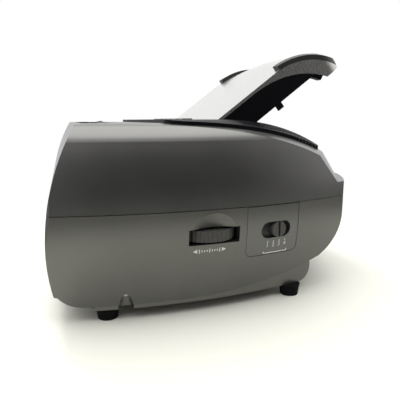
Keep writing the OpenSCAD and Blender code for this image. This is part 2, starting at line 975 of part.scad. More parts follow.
module lid_grip() color("dimgray") in_lid() grip_layer();

module lid_frame() color("black") in_lid() {
    difference() {
        union() {
            hinge_rounded() difference() {
                intersection() {
                    inner_dome(0);
                    lid_prism(0, skin_z, skin_z - skirt_d, skin_z);
                }
                lid_hollow();
            }
            for (side = [-1, 1]) rod_x(side * ear_x - ear_w / 2, 0, 0, skin_z - silver_t - 0.2, ear_w);
            clamp_cage();
            intersection() {
                inner_dome(0.1);
                for (side = [-1, 1]) lid_hook_at(side);
            }
            lid_tab(0);
        }
        for (side = [-1, 1]) {
            rod_x(side * ear_x - ear_w, 0, 0, lid_pin_r, 2 * ear_w);
            rod_x(side * bracket_x - 3.4, 0, 0, 3.5, 6.8);
        }
    }
}

// Tab that presses the lid switch through a slot in the deck
module lid_tab(grow) {
    low = [-lid_half + 0.2 - grow, -62 - grow, skin_z - skirt_d - 5 - grow];
    high = [-lid_half + 2.4 + grow, -56 + grow, skin_z - skirt_d + 1 + grow];
    box_between(low, high);
}

hook_x = lid_half - 4.6;
hook_w = 6;

module lid_hook_at(side) {
    translate([side * hook_x - hook_w / 2, 0, 0]) rotate([90, 0, 90]) linear_extrude(hook_w) polygon([
        [-109, skin_z - skirt_d + 6], [-98, skin_z - skirt_d + 6], [-100, skin_z - skirt_d - 2],
        [-105, skin_z - skirt_d - 8], [-113, skin_z - skirt_d - 4], [-112, skin_z - skirt_d - 1]
    ]);
}

bracket_x = ear_x + ear_w / 2 + 3.4;
clamp_r = 15;
clamp_z = skin_z - plate_t;

module clamp_cage() {
    translate([0, disc_y, clamp_z - 6]) difference() {
        cylinder(r = clamp_r + 2.5, h = 6 + eps);
        translate([0, 0, 1.2]) cylinder(r = clamp_r + 0.5, h = 6);
        translate([0, 0, -1]) cylinder(r = clamp_r - 2, h = 6);
    }
}

module disc_clamp() color("white") in_lid() translate([0, disc_y, clamp_z - 6]) {
    translate([0, 0, 1.5]) cylinder(r = clamp_r, h = 3);
    difference() {
        translate([0, 0, -0.6]) cylinder(r = clamp_r - 2.5, h = 2.2);
        translate([0, 0, -1]) cylinder(r = 4.5, h = 2);
    }
}

module lid_pins() color("silver") in_lid() {
    for (side = [-1, 1])
        rod_x(side * (ear_x + 3) - 6, 0, 0, lid_pin_r, 12);
}

// ---- CD deck ----------------------------------------------------------------------------

step_r = 174.5;
deck_wall = 2.2;

window_in = 24;
window_y_in = [disc_y - 54, disc_y - 14];

module cd_deck() color("black") {
    difference() {
        intersection() {
            outer_form(wall);
            in_bay() union() {
                bay_walls();
                bay_floor();
                bay_apron();
                translate([0, disc_y, 0]) intersection() {
                    translate([0, 0, well_z - 1]) cylinder(r = disc_r + 5, h = disc_z + 2.6 - well_z);
                    box_between([-big, -disc_r + 4, -big], [big, disc_r - 2, big]);
                }
                for (side = [-1, 1]) hinge_bracket(side);
            }
        }
        in_bay() {
            rod_z(0, disc_y, disc_z - 2, disc_r, 20);
            rod_z(0, disc_y, disc_z - 3.6, 17, 20);
            rod_z(0, disc_y, -big / 10, motor_r, big / 5);
            box_between([-window_in, window_y_in[0], -big / 10], [window_in, window_y_in[1], disc_z]);
            lid_tab(0.7);
            for (side = [-1, 1])
                centred_box(side * hook_x, -105.5, [hook_w + 1.6, 20], skin_z - skirt_d - 10, 0);
            for (side = [-1, 1]) {
                rod_y(side * sled_rod_x, window_y_in[0] - 2, sled_z, sled_rod_r, 44);
                rod_x(side * bracket_x - 6, 0, 0, lid_pin_r + fit, 12);
            }
        }
    }
}

module bay_walls() {
    difference() {
        lid_prism(-bay_gap - deck_wall, skin_z + bay_gap + deck_wall, well_z - 1, big / 9);
        bay_cut(bay_gap, well_z - 2);
        box_between([-big, -big, -big], [big, -108, big]);
    }
}

module bay_floor() {
    difference() {
        lid_prism(-bay_gap - deck_wall, skin_z + bay_gap + deck_wall, well_z - deck_wall, well_z);
        difference() {
            slab(well_z - deck_wall - 1, well_z + 1);
            rod_z(0, lid_axis_y, -big / 9, step_r, big / 4);
        }
    }
}

// Lower step under the lid's lip, and the riser behind it
module bay_apron() {
    difference() {
        intersection() {
            lid_prism(-bay_gap - deck_wall, 0, lip_z - deck_wall, well_z);
            box_between([-big, -big, -big], [big, -60, big]);
        }
        rod_z(0, lid_axis_y, -big / 9, step_r - deck_wall, big / 4);
        difference() {
            bay_cut(bay_gap, lip_z);
            rod_z(0, lid_axis_y, -big / 9, step_r, big / 4);
        }
    }
}

module hinge_bracket(side) {
    box_between([side * bracket_x - 3, -3, well_z - 1], [side * bracket_x + 3, 3, 0]);
    rod_x(side * bracket_x - 3, 0, 0, 3, 6);
}

hub_r = 7.3;
motor_r = 12.5;

module turntable_hub() color("dimgray") in_bay() translate([0, disc_y, disc_z]) {
    translate([0, 0, -1.4]) cylinder(r = 14.5, h = 1.4);
    cylinder(r = hub_r, h = 2.4);
    translate([0, 0, -3.6]) cylinder(r = 3, h = 3);
    translate([0, 0, -9]) cylinder(r = 1.2, h = 8);
}

module spindle_motor() color("silver") in_bay() translate([0, disc_y, disc_z]) {
    difference() {
        translate([0, 0, -16]) cylinder(r = motor_r, h = 12);
        translate([0, 0, -12]) cylinder(r = 1.2 + fit, h = 20);
    }
}

sled_rod_x = 19;
sled_y = disc_y - 28;
sled_z = disc_z - 7.2;
sled_rod_r = 1.5;

module guide_rods() color("silver") in_bay() {
    for (side = [-1, 1]) rod_y(side * sled_rod_x, window_y_in[0] - 2, sled_z, sled_rod_r, 44);
}

module pickup_sled() color("gray") in_bay() {
    difference() {
        union() {
            centred_box(0, sled_y, [44, 14], sled_z - 3, sled_z + 3);
            centred_box(0, sled_y, [20, 12], sled_z + 2, disc_z - 3);
        }
        for (side = [-1, 1]) rod_y(side * sled_rod_x, sled_y - 20, sled_z, sled_rod_r + fit, 40);
    }
}

module pickup_lens() color("steelblue") in_bay() rod_z(0, sled_y, disc_z - 3, 3, 1.6);

module housing_screws() color("silver") {
    for (side = [-1, 1], at = screw_at) {
        rod_z(side * at[0], at[1], screw_sink - 2.4, 3.4, 2.4);
        rod_z(side * at[0], at[1], screw_sink - 1, 1.6, 10);
    }
}

// ---- mast -------------------------------------------------------------------------------

module mast_sleeve() color("gray") {
    difference() {
        rod_z(mast_x, mast_y, mast_low - 2, mast_r[0] + 1.2, top_z - mast_low + 1.8);
        rod_z(mast_x, mast_y, mast_low, mast_r[0] + fit, big / 5);
    }
}

module mast_section(i, low, high) {
    difference() {
        rod_z(mast_x, mast_y, low, mast_r[i], high - low);
        if (i < 2) rod_z(mast_x, mast_y, low + 2, mast_r[i + 1] + fit, big / 5);
    }
}

module mast_outer() color("silver") mast_section(0, mast_low + 0.3, top_z - 0.4);
module mast_middle() color("silver") mast_section(1, mast_low + 2.6, top_z - 0.2);
module mast_tip() color("silver") {
    mast_section(2, mast_low + 4.9, top_z + 0.2);
    rod_z(mast_x, mast_y, top_z + 0.1, mast_r[0] + 0.7, 0.9);
}

upper_housing();
lower_housing();
base_tray();
rubber_feet();
housing_screws();
top_panel();
display_window();
display_module();
control_board();
button_mode();
button_back();
button_stop();
button_play();
button_forward();
button_program();
carry_handle();
handle_pins();
tuning_wheel();
tuning_gang();
volume_wheel();
volume_pot();
function_panel();
function_knob();
dial_window();
dial_plate();
dial_pointer();
audio_jacks();
battery_bay();
battery_contacts();
battery_door();
door_pins();
ac_inlet();
speaker_frames();
speaker_cones();
speaker_magnets();
main_board();
power_transformer();
lid_shell();
lid_grip();
lid_frame();
disc_clamp();
lid_pins();
cd_deck();
turntable_hub();
spindle_motor();
guide_rods();
pickup_sled();
pickup_lens();
mast_sleeve();
mast_outer();
mast_middle();
mast_tip();
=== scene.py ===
import json
import math
import bpy
import bmesh
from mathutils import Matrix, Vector
from mathutils.bvhtree import BVHTree


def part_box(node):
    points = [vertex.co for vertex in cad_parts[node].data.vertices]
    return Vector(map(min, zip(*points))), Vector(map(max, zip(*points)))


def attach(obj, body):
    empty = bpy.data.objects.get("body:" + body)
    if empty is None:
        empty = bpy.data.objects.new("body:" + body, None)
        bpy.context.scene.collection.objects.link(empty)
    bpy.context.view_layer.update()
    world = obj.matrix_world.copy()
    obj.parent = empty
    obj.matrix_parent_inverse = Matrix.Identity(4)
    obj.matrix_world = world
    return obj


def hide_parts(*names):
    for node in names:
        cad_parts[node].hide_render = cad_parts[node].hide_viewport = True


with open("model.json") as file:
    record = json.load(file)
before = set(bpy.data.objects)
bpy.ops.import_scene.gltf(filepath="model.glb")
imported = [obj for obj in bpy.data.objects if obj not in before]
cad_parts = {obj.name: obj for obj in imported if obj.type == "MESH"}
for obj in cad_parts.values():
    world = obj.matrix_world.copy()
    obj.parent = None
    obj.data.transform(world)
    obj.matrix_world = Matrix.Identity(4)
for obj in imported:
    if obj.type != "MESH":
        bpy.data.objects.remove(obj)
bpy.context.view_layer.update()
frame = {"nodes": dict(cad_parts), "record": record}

nodes = frame["nodes"]
mm = 0.001
weld = 1e-7  # vertices nearer to each other than this are one
print("frame loaded:", len(nodes), "nodes")

# the camera, settled by the image points below

imageSize = (400, 400)
camera = {"place": (-0.418, 0.1188, 0.13965), "turn": 17.29, "dip": 10.54, "lens": 38.7, "sensor": 36.0,
          "near": 0.01}

# each point is the middle of what shows of a thing, in the photograph's frame; the lid tip alone is set where
# the built lid ends, which is about 6 pixels short of the photograph's
imagePoints = {
    "left edge": (46.2, 240), "right edge": (344.6, 186), "lid top": (317.8, 54.3),
    "rear foot bottom": (109, 320.4), "front foot bottom": (293, 295.8),
    "tuning wheel": (212, 237), "function knob": (279, 229.5),
    "arrow left": (195, 252), "arrow right": (224, 248.8), "tuning scale": (209.7, 250.6),
    "switch numbers": (276, 243), "switch bracket": (274.5, 251.5),
    "parting line rear": (56, 216.4), "parting line front": (330, 197.5), "lid tip": (336.0, 64.2),
    "panel ribs rear": (299, 139.5), "panel ribs front": (315, 146.8),
}


def makeCamera():
    data = bpy.data.cameras.new("camera")
    data.sensor_fit = "AUTO"
    data.sensor_width = camera["sensor"]
    data.lens = camera["lens"]
    data.clip_start = camera["near"]
    made = bpy.data.objects.new("camera", data)
    bpy.context.scene.collection.objects.link(made)
    turn, dip = math.radians(camera["turn"]), math.radians(camera["dip"])
    ahead = Vector((math.cos(dip) * math.cos(turn), -math.cos(dip) * math.sin(turn), -math.sin(dip)))
    made.location = camera["place"]
    made.rotation_mode = "QUATERNION"
    made.rotation_quaternion = ahead.to_track_quat("-Z", "Y")
    bpy.context.scene.camera = made
    bpy.context.view_layer.update()
    return made


eye = makeCamera()
pixelsAtOne = max(imageSize) * camera["lens"] / camera["sensor"]  # pixels per metre, one metre away


def imageRay(point):
    wide, high = imageSize
    along = Vector((point[0] - wide / 2, high / 2 - point[1], -pixelsAtOne))
    return eye.location.copy(), (eye.rotation_quaternion @ along).normalized()


def imagePlace(spot):
    along = eye.rotation_quaternion.inverted() @ (Vector(spot) - eye.location)
    wide, high = imageSize
    scale = pixelsAtOne / -along.z
    return wide / 2 + along.x * scale, high / 2 - along.y * scale


def treeOf(*names):
    spots, faces = [], []
    for name in names:
        mesh = bpy.data.objects[name].data
        start = len(spots)
        spots += [vertex.co.copy() for vertex in mesh.vertices]
        faces += [[start + index for index in face.vertices] for face in mesh.polygons]
    return BVHTree.FromPolygons(spots, faces)


def placeByPoint(point, tree):
    # where an image point's ray meets the carrier, with the surface's normal towards the camera
    start, along = imageRay(point)
    hit, normal, _, _ = tree.ray_cast(start, along)
    return hit, -normal if normal.dot(along) > 0 else normal


# shader expressions: a socket that does maths, and a tree whose nodes are added by name


class Socket:
    def __init__(self, nodeTree, out):
        self.nodeTree = nodeTree
        self.out = out

    def maths(self, operation, first, second=None):
        values = {0: first} if second is None else {0: first, 1: second}
        return self.nodeTree.node("ShaderNodeMath", {"operation": operation}, values)

    def __add__(self, other): return self.maths("ADD", self, other)
    def __radd__(self, other): return self.maths("ADD", other, self)
    def __rsub__(self, other): return self.maths("SUBTRACT", other, self)
    def __mul__(self, other): return self.maths("MULTIPLY", self, other)
    def __gt__(self, other): return self.maths("GREATER_THAN", self, other)
    def absolute(self): return self.maths("ABSOLUTE", self)
    def sine(self): return self.maths("SINE", self)
    def most(self, other): return self.maths("MAXIMUM", self, other)


class NodeTree:
    def __init__(self, tree):
        self.tree = tree

    def node(self, kind, settings=None, values=None, out=0):
        made = self.tree.nodes.new(kind)
        for key, value in (settings or {}).items():
            setattr(made, key, value)
        for key, value in (values or {}).items():
            self.feed(made.inputs[key], value)
        return Socket(self, made.outputs[out]) if made.outputs else made

    def feed(self, socket, value):
        if isinstance(value, Socket):
            self.tree.links.new(value.out, socket)
        else:
            socket.default_value = value

    def spot(self):
        return self.node("ShaderNodeTexCoord", out="Object")

    def noise(self, size, detail=3.0, rough=0.5, spot=None):
        return self.node("ShaderNodeTexNoise", None, {
            "Vector": spot or self.spot(), "Scale": 1 / size, "Detail": detail, "Roughness": rough}, "Fac")

    def stretched(self, scale):
        return self.node("ShaderNodeVectorMath", {"operation": "MULTIPLY"}, {0: self.spot(), 1: scale})

    def axis(self, which, vector=None):
        return self.node("ShaderNodeSeparateXYZ", None, {0: vector or self.spot()}, which)

    def ramp(self, value, low, high, start=0.0, end=1.0):
        # goes smoothly from start to end as the value goes from low to high
        return self.node("ShaderNodeMapRange", {"interpolation_type": "SMOOTHSTEP"}, {
            "Value": value, "From Min": low, "From Max": high, "To Min": start, "To Max": end})

    def mix(self, mask, first, second):
        return self.node("ShaderNodeMix", {"data_type": "RGBA"}, {0: mask, 6: first, 7: second}, 2)


def shade(colour, factor):
    return tuple(min(1.0, part * factor) for part in colour[:3]) + (1.0,)


class Finish(NodeTree):
    # one material round its own shader
    def __init__(self, name, look=None):
        self.material = bpy.data.materials.new(name)
        self.material.use_nodes = True
        super().__init__(self.material.node_tree)
        self.shader = self.tree.nodes["Principled BSDF"]
        self.look = look

    def set(self, **values):
        for key, value in values.items():
            self.feed(self.shader.inputs[key.replace("_", " ")], value)

    def bump(self, height, distance, strength=0.5):
        self.set(Normal=self.node("ShaderNodeBump", None, {
            "Height": height, "Distance": distance, "Strength": strength}))

    def toned(self, mask):
        # the look's colour, going from its first tone to its second as the mask goes from 0 to 1
        first, second = self.look["tones"]
        return self.mix(mask, shade(self.look["colour"], first), shade(self.look["colour"], second))


# what the finishes of one kind share: lengths in millimetres, and how far each noise changes tone and
# roughness

kinds = {
    "grained": {"grain": 0.45, "depth": 0.02, "metal": 0.0, "gloss": 0.5, "cloud": 30, "speck": 0.9,
                "tones": (0.88, 1.12), "cloudTone": 0.55, "speckTone": 0.35, "smoother": 0.05,
                "cloudRough": 0.06, "grainRough": 0.04},
    "brushed": {"depth": 0.01, "cloud": 20, "tones": (0.85, 1.1), "lineTone": 0.5, "cloudTone": 0.3,
                "lineRough": 0.08},
    "silverSkin": {"flake": 0.35, "cloud": 50, "tones": (0.92, 1.06), "flakeTone": 0.7, "cloudTone": 0.2,
                   "flakeRough": 0.06, "coat": 0.3, "coatRough": 0.12, "peel": 0.6, "depth": 0.006,
                   "bump": 0.4},
    "clearPlastic": {"cloud": 10, "tones": (0.9, 1.1), "rough": 0.04, "cloudRough": 0.05, "cloudAlpha": 0.04,
                     "coat": 0.5},
    "circuitBoard": {"pitch": 2.2, "bend": 12, "bends": 9, "trackFrom": 0.82, "patch": 20, "patchFrom": 0.48,
                     "rough": 0.35, "smoother": 0.12, "coat": 0.3, "depth": 0.03},
    "woven": {"tones": (0.6, 1.25), "weaveRough": 0.1, "depth": 0.12, "bump": 0.7},
    "rubbery": {"grain": 0.5, "dust": 6, "tones": (0.8, 1.9), "dustTone": 0.5, "rough": 0.72,
                "dustRough": 0.12, "depth": 0.04, "bump": 0.6},
}


def grained(finish, look):
    # moulded plastic, some of it lacquered: a spark-eroded grain, slow changes in tone, handling sheen
    grain = finish.noise(look["grain"] * mm, 2.0, 0.6)
    cloud = finish.noise(look["cloud"] * mm, 3.0, 0.55)
    speck = finish.noise(look["speck"] * mm, 1.0, 0.5)
    rough = look["rough"] - look["smoother"] + cloud * look["cloudRough"] + grain * look["grainRough"]
    finish.set(Base_Color=finish.toned(cloud * look["cloudTone"] + speck * look["speckTone"]),
               Roughness=rough, Metallic=look["metal"], Specular_IOR_Level=look["gloss"])
    finish.bump(grain, look["depth"] * mm)


def brushed(finish, look):
    # plated or drawn metal with fine lines along one axis
    lines = finish.noise(1.0, 2.0, 0.6, finish.stretched(look["lines"]))
    cloud = finish.noise(look["cloud"] * mm, 2.0, 0.5)
    finish.set(Base_Color=finish.toned(lines * look["lineTone"] + cloud * look["cloudTone"]), Metallic=1.0,
               Roughness=look["rough"] + lines * look["lineRough"])
    finish.bump(lines, look["depth"] * mm)


def silverSkin(finish, look):
    # silver lacquer with metal flakes under a clear coat
    flakes = finish.node("ShaderNodeTexVoronoi", {"feature": "F1"},
                         {"Vector": finish.spot(), "Scale": 1 / (look["flake"] * mm)}, "Color")
    flake = finish.node("ShaderNodeSeparateColor", None, {0: flakes})
    cloud = finish.noise(look["cloud"] * mm, 2.0, 0.5)
    finish.set(Base_Color=finish.toned(flake * look["flakeTone"] + cloud * look["cloudTone"]),
               Metallic=look["metal"], Roughness=look["rough"] + flake * look["flakeRough"],
               Coat_Weight=look["coat"], Coat_Roughness=look["coatRough"])
    finish.bump(finish.noise(look["peel"] * mm, 1.0), look["depth"] * mm, look["bump"])


def clearPlastic(finish, look):
    cloud = finish.noise(look["cloud"] * mm, 2.0, 0.5)
    finish.set(Base_Color=finish.toned(cloud), Roughness=look["rough"] + cloud * look["cloudRough"],
               Alpha=look["alpha"] + cloud * look["cloudAlpha"], Coat_Weight=look["coat"])


def circuitBoard(finish, look):
    # lacquered board with copper tracks showing through
    bent = finish.noise(look["bend"] * mm, 1.0) * look["bends"]
    across = (finish.axis("X") * (math.pi / (look["pitch"] * mm)) + bent).sine()
    track = (across > look["trackFrom"]) * (finish.noise(look["patch"] * mm, 1.0) > look["patchFrom"])
    finish.set(Base_Color=finish.mix(track, shade(look["colour"], 1.0), shade(look["track"], 1.0)),
               Roughness=look["rough"] - track * look["smoother"], Coat_Weight=look["coat"])
    finish.bump(track, look["depth"] * mm)


def woven(finish, look):
    # a pressed paper cone with a crossed weave
    turns = math.pi / (look["pitch"] * mm)
    weave = (finish.axis("X") * turns).sine().absolute() * (finish.axis("Y") * turns).sine().absolute()
    finish.set(Base_Color=finish.toned(weave), Roughness=look["rough"] - weave * look["weaveRough"])
    finish.bump(weave, look["depth"] * mm, look["bump"])


def rubbery(finish, look):
    grain = finish.noise(look["grain"] * mm, 3.0, 0.65)
    dust = finish.noise(look["dust"] * mm, 3.0, 0.6)
    finish.set(Base_Color=finish.toned(dust * look["dustTone"]), Specular_IOR_Level=look["gloss"],
               Roughness=look["rough"] + dust * look["dustRough"])
    finish.bump(grain, look["depth"] * mm, look["bump"])


finishes = {
    "body_dark": (grained, {"colour": (0.2, 0.201, 0.2), "rough": 0.32, "metal": 0.92}),
    "body_grey": (grained, {"colour": (0.2, 0.2, 0.193), "rough": 0.34, "metal": 0.92}),
    "black_plastic": (grained, {"colour": (0.006, 0.006, 0.008), "rough": 0.46, "grain": 0.35,
                                "gloss": 0.08}),
    "rubber": (rubbery, {"colour": (0.004, 0.004, 0.005), "gloss": 0.15}),
    "steel": (brushed, {"colour": (0.55, 0.55, 0.54), "rough": 0.3, "lines": (60, 60, 4000)}),
    "chrome": (brushed, {"colour": (0.72, 0.72, 0.72), "rough": 0.12, "lines": (3000, 3000, 40),
                         "depth": 0.004}),
    "silver_paint": (silverSkin, {"colour": (0.64, 0.64, 0.635), "rough": 0.24, "metal": 0.85}),
    "button_grey": (grained, {"colour": (0.35, 0.35, 0.35), "rough": 0.35, "metal": 0.6, "grain": 0.3}),
    "clear_dark": (clearPlastic, {"colour": (0.03, 0.04, 0.04), "alpha": 0.3}),
    "display": (grained, {"colour": (0.24, 0.29, 0.2), "rough": 0.25, "grain": 0.2, "depth": 0.005}),
    "board": (circuitBoard, {"colour": (0.02, 0.12, 0.05), "track": (0.16, 0.3, 0.12)}),
    "white_plastic": (grained, {"colour": (0.72, 0.72, 0.68), "rough": 0.4}),
    "orange_plastic": (grained, {"colour": (0.75, 0.12, 0.02), "rough": 0.3, "grain": 0.3}),
    "grey_plastic": (grained, {"colour": (0.2, 0.2, 0.2), "rough": 0.45}),
    "speaker_frame": (grained, {"colour": (0.05, 0.05, 0.052), "rough": 0.35, "metal": 0.6}),
    "paper": (woven, {"colour": (0.02, 0.02, 0.02), "rough": 0.9, "pitch": 1.1}),
    "lens_glass": (clearPlastic, {"colour": (0.08, 0.1, 0.3), "alpha": 0.8}),
    "white_ink": (grained, {"colour": (0.85, 0.85, 0.82), "rough": 0.6, "grain": 0.2}),
    "black_ink": (grained, {"colour": (0.015, 0.017, 0.014), "rough": 0.5, "grain": 0.2}),
    "wheel_grip": (grained, {"colour": (0.07, 0.07, 0.068), "rough": 0.4, "grain": 0.3}),
    "rim_grey": (grained, {"colour": (0.028, 0.028, 0.026), "rough": 0.45, "grain": 0.4}),
}


def makeMaterial(slot):
    # a finish's own values come before those of its kind
    paint, own = finishes[slot]
    finish = Finish(slot, {**kinds[paint.__name__], **own})
    paint(finish, finish.look)
    return finish.material


materials = {slot: makeMaterial(slot) for slot in finishes}
ownFinish = {"tuning_wheel": "wheel_grip", "volume_wheel": "wheel_grip", "function_knob": "wheel_grip",
             "lid_grip": "rim_grey"}
for part in frame["record"]["subparts"]:
    mesh = nodes[part["node"]].data
    mesh.materials.clear()
    mesh.materials.append(materials[ownFinish.get(part["node"], part["material_slot"])])
print("finishes:", len(materials))

# pieces that scene.py adds


def addPiece(name, grid, body, slot, finish=None):
    mesh = bpy.data.meshes.new(name)
    bmesh.ops.recalc_face_normals(grid, faces=grid.faces)
    grid.to_mesh(mesh)
    grid.free()
    mesh.materials.append(materials[finish or slot])
    piece = bpy.data.objects.new(name, mesh)
    bpy.context.scene.collection.objects.link(piece)
    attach(piece, body)
    return piece


class Station:
    # a place on a surface: right and up run along it, out stands off it
    def __init__(self, place, out, up):
        self.place = Vector(place)
        self.out = Vector(out).normalized()
        self.right = Vector(up).cross(self.out).normalized()
        self.up = self.out.cross(self.right)

    def at(self, across, along, off=0.0):
        return self.place + self.right * across + self.up * along + self.out * off


def stationByPoint(name, tree):
    place, out = placeByPoint(imagePoints[name], tree)
    return Station(place, out, (0, 0, 1))


def stationOn(name, out, up):
    # stands in the middle of the side of a node's box that faces out
    place = [(low + high) / 2 + way * (high - low) / 2 for low, high, way in zip(*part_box(name), out)]
    return Station(place, out, up)


def spread(count, pitch):
    # places in a row about its middle
    return [(index - (count - 1) / 2) * pitch for index in range(count)]


ink = {"proud": 0.05 * mm, "sunk": 0.12 * mm, "reach": 4 * mm}


def layInk(grid, station, flat, faces, tree=None):
    # lays a flat pattern on the carrier as a thin closed film
    tops, lows = [], []
    for across, along in flat:
        spot, out = station.at(across, along), station.out
        if tree:
            hit, _, _, _ = tree.ray_cast(spot + out * ink["reach"], -out)
            spot = hit or spot
        tops.append(grid.verts.new(spot + out * ink["proud"]))
        lows.append(grid.verts.new(spot - out * ink["sunk"]))
    used = {}
    for face in faces:
        grid.faces.new([tops[index] for index in face])
        grid.faces.new([lows[index] for index in reversed(face)])
        for first, second in zip(face, face[1:] + face[:1]):
            used.setdefault(frozenset((first, second)), []).append((first, second))
    for pairs in used.values():
        if len(pairs) == 1:
            first, second = pairs[0]
            grid.faces.new([tops[second], tops[first], lows[first], lows[second]])


def outline(*corners):
    return list(corners), [list(range(len(corners)))]


def bar(x, y, wide, high, step=2 * mm):
    # cut across its length, so that a long one follows the surface
    count = max(1, round(max(wide, high) / step))
    flat, faces = [], []
    for index in range(count + 1):
        share = index / count - 0.5
        for side in (-0.5, 0.5):
            flat.append((x + share * wide, y + side * high) if wide > high
                        else (x - side * wide, y + share * high))
    for index in range(count):
        faces.append([2 * index, 2 * index + 2, 2 * index + 3, 2 * index + 1])
    return flat, faces


def arrow(x, y, size, way):
    tail, tip = x - way * size / 2, x + way * size / 2
    return outline((tail, y - size / 2), (tip, y), (tail, y + size / 2))


numbers = {"smooth": 3, "weld": 1e-4}  # steps in a curve, and the weld as a share of the size


def number(text, x, y, size):
    # a plain number as a flat mesh, centred on x and y
    curve = bpy.data.curves.new("number", "FONT")
    curve.body = text
    curve.size = size
    curve.align_x = "CENTER"
    curve.align_y = "CENTER"
    curve.resolution_u = numbers["smooth"]
    holder = bpy.data.objects.new("number", curve)
    bpy.context.scene.collection.objects.link(holder)
    mesh = bpy.data.meshes.new_from_object(holder.evaluated_get(bpy.context.evaluated_depsgraph_get()))
    grid = bmesh.new()
    grid.from_mesh(mesh)
    bmesh.ops.remove_doubles(grid, verts=grid.verts, dist=size * numbers["weld"])
    grid.verts.index_update()
    flat = [(x + vertex.co.x, y + vertex.co.y) for vertex in grid.verts]
    faces = [[vertex.index for vertex in face.verts] for face in grid.faces]
    grid.free()
    bpy.data.objects.remove(holder)
    bpy.data.curves.remove(curve)
    bpy.data.meshes.remove(mesh)
    return flat, faces


def printMarks(name, station, marks, body, slot, finish, tree=None):
    grid = bmesh.new()
    for flat, faces in marks:
        layInk(grid, station, flat, faces, tree)
    return addPiece(name, grid, body, slot, finish)


def turned(grid, station, profile, steps=48):
    # a closed ring or cap turned round the station's out axis; the profile is (radius, height) pairs
    turns = []
    for step in range(steps):
        angle = 2 * math.pi * step / steps
        turns.append([grid.verts.new(station.at(radius * math.cos(angle), radius * math.sin(angle), height))
                      for radius, height in profile])
    count = len(profile)
    for step in range(steps):
        here, there = turns[step], turns[(step + 1) % steps]
        for index in range(count):
            after = (index + 1) % count
            grid.faces.new([here[index], there[index], there[after], here[after]])
    bmesh.ops.remove_doubles(grid, verts=grid.verts, dist=weld)


def block(grid, station, across, along, wide, high, low, top, bevel):
    # a bar with its upper edges bevelled, standing on the station's plane
    rows = []
    for off, inset in ((low, 0.0), (top - bevel, 0.0), (top, bevel)):
        halfWide, halfHigh = wide / 2 - inset, high / 2 - inset
        rows.append([grid.verts.new(station.at(across + sx * halfWide, along + sy * halfHigh, off))
                     for sx, sy in ((-1, -1), (1, -1), (1, 1), (-1, 1))])
    grid.faces.new(list(reversed(rows[0])))
    grid.faces.new(rows[2])
    for lower, upper in zip(rows, rows[1:]):
        for index in range(4):
            after = (index + 1) % 4
            grid.faces.new([lower[index], lower[after], upper[after], upper[index]])


# the marks on the left side stand in for its words: arrows, a plain scale and plain numbers

sideMarks = {"arrow": 3.2 * mm, "ticks": 9, "pitch": 1.9 * mm, "tick": 0.7 * mm, "low": 1.6 * mm,
             "high": 3.0 * mm, "highEvery": 4, "number": 4.6 * mm, "numberDown": 0.9 * mm, "stops": 4,
             "stopPitch": 5.2 * mm, "stopUp": 2.0 * mm, "stopHigh": 1.3 * mm, "endUp": 0.6 * mm,
             "endHigh": 1.6 * mm}


def printWhite(name, point, marks, tree):
    printMarks(name, stationByPoint(point, tree), marks, "housing", "white_plastic", "white_ink", tree)


def makeSideMarks():
    look = sideMarks
    side, panel = treeOf("lower_housing"), treeOf("function_panel")
    printWhite("tuning_arrow_left", "arrow left", [arrow(0, 0, look["arrow"], -1)], side)
    printWhite("tuning_arrow_right", "arrow right", [arrow(0, 0, look["arrow"], 1)], side)
    ticks = [bar(across, 0, look["tick"], look["low"] if index % look["highEvery"] else look["high"])
             for index, across in enumerate(spread(look["ticks"], look["pitch"]))]
    printWhite("tuning_scale", "tuning scale", ticks, side)
    marks = []
    for index, across in enumerate(spread(look["stops"], look["stopPitch"])):
        marks.append(number(str(index + 1), across, -look["numberDown"], look["number"]))
        marks.append(bar(across, look["stopUp"], look["tick"], look["stopHigh"]))
    printWhite("switch_numbers", "switch numbers", marks, panel)
    span = look["stopPitch"] * look["stops"]
    bracket = [bar(0, 0, span, look["tick"])]
    bracket += [bar(across, look["endUp"], look["tick"], look["endHigh"]) for across in spread(2, span)]
    printWhite("switch_bracket", "switch bracket", bracket, panel)


makeSideMarks()

# the front dial: two rows of plain numbers and a row of ticks

dial = {"upper": ("88", "92", "96", "100", "104", "108"), "lower": ("53", "60", "80", "100", "120", "160"),
        "span": 74 * mm, "number": 3.4 * mm, "row": 4.6 * mm, "ticks": 51, "tick": 0.25 * mm,
        "low": 1.6 * mm, "high": 3.0 * mm, "highEvery": 10}


def makeDial():
    marks = []
    for row, height in (("upper", dial["row"]), ("lower", -dial["row"])):
        places = spread(len(dial[row]), dial["span"] / (len(dial[row]) - 1))
        marks += [number(text, across, height, dial["number"]) for text, across in zip(dial[row], places)]
    for index, across in enumerate(spread(dial["ticks"], dial["span"] / (dial["ticks"] - 1))):
        marks.append(bar(across, 0, dial["tick"], dial["low"] if index % dial["highEvery"] else dial["high"]))
    printMarks("dial_scale", stationOn("dial_plate", (0, -1, 0), (0, 0, 1)), marks, "housing",
               "black_plastic", "black_ink")


makeDial()

# transport signs on the buttons, in millimetres: an arrow's place and size, or a bar's place, width and
# height

signs = {
    "button_mode": (("bar", -1.68, 0.77, 0.77), ("bar", 0, 0.77, 0.77), ("bar", 1.68, 0.77, 0.77)),
    "button_back": (("left", 0.32, 2.56), ("left", 2.56, 2.56), ("bar", -2.08, 0.7, 2.56)),
    "button_stop": (("bar", 0, 2.56, 2.56),),
    "button_play": (("right", -1.6, 3.2), ("bar", 1.44, 0.7, 3.2), ("bar", 2.72, 0.7, 3.2)),
    "button_forward": (("right", -2.56, 2.56), ("right", -0.32, 2.56), ("bar", 2.08, 0.7, 2.56)),
    "button_program": (("bar", 0, 3.2, 0.7), ("bar", 0, 0.7, 3.2)),
}
signKinds = {"bar": lambda across, wide, high: bar(across, 0, wide, high),
             "left": lambda across, size: arrow(across, 0, size, -1),
             "right": lambda across, size: arrow(across, 0, size, 1)}


